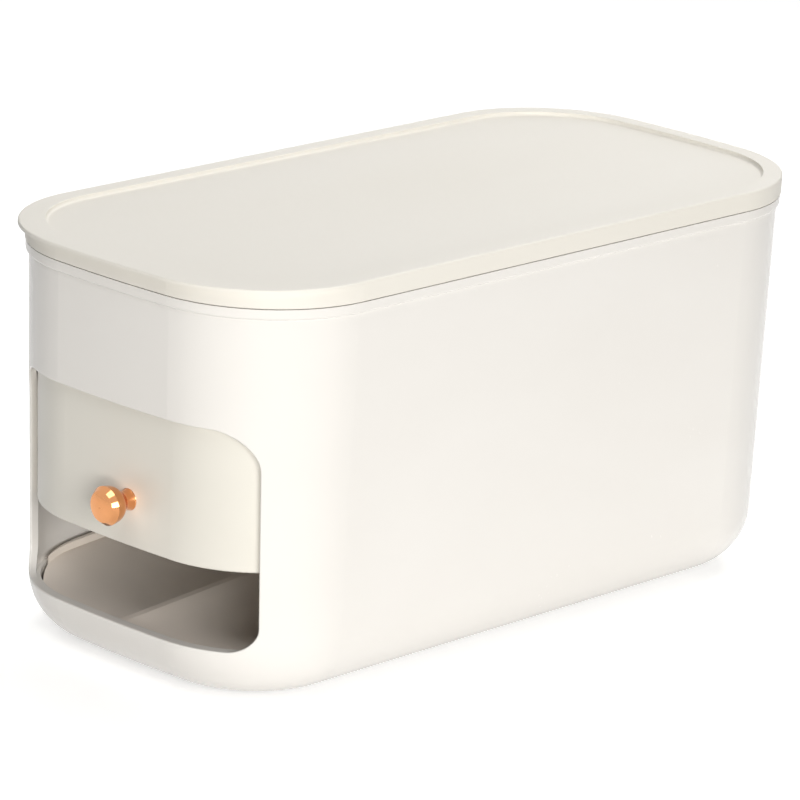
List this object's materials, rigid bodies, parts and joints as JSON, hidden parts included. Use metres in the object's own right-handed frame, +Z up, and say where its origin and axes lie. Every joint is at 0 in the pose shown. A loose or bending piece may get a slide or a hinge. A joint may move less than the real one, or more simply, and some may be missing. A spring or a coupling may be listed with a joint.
{
  "type": "rolling egg dispenser",
  "caption": "Two-deck rolling egg dispenser bin: drafted tub with a wide front window, lift-up door on a knob, lift-off lid, sloping trays inside",
  "frame": {"origin": "on the table under the middle of the box, in the plane of the foot pads' undersides", "axes": "+Z up, the window and the knob face -Y, +X to the right as seen from the front, +Y the long way to the rear"},
  "size_m": [0.165, 0.3413, 0.17],
  "materials": {
    "tub_plastic": "smooth glossy warm white",
    "lid_plastic": "satin cream",
    "door_plastic": "satin cream",
    "tray_plastic": "satin white",
    "knob_metal": "polished rose gold",
    "screw_steel": "bright zinc",
    "pad_foam": "soft closed-cell foam",
    "foot_rubber": "matte soft rubber"
  },
  "bodies": {
    "box": {"tub": "tub_plastic", "upper_chute": "tray_plastic", "lower_chute": "tray_plastic", "drop_pad_left": "pad_foam", "drop_pad_right": "pad_foam", "foot_front_left": "foot_rubber", "foot_front_right": "foot_rubber", "foot_rear_left": "foot_rubber", "foot_rear_right": "foot_rubber"},
    "door": {"door": "door_plastic", "knob": "knob_metal", "knob_washer": "screw_steel", "knob_screw": "screw_steel"},
    "lid": {"lid": "lid_plastic"}
  },
  "joints": [
    {"name": "door_slide", "type": "slide", "parent": "box", "child": "door", "axis": [0, -0.0215, 0.9998], "range_m": [0, 0.032]},
    {"name": "lid_lift", "type": "slide", "parent": "box", "child": "lid", "axis": [0, 0, 1], "range_m": [0, 0.05]}
  ]
}
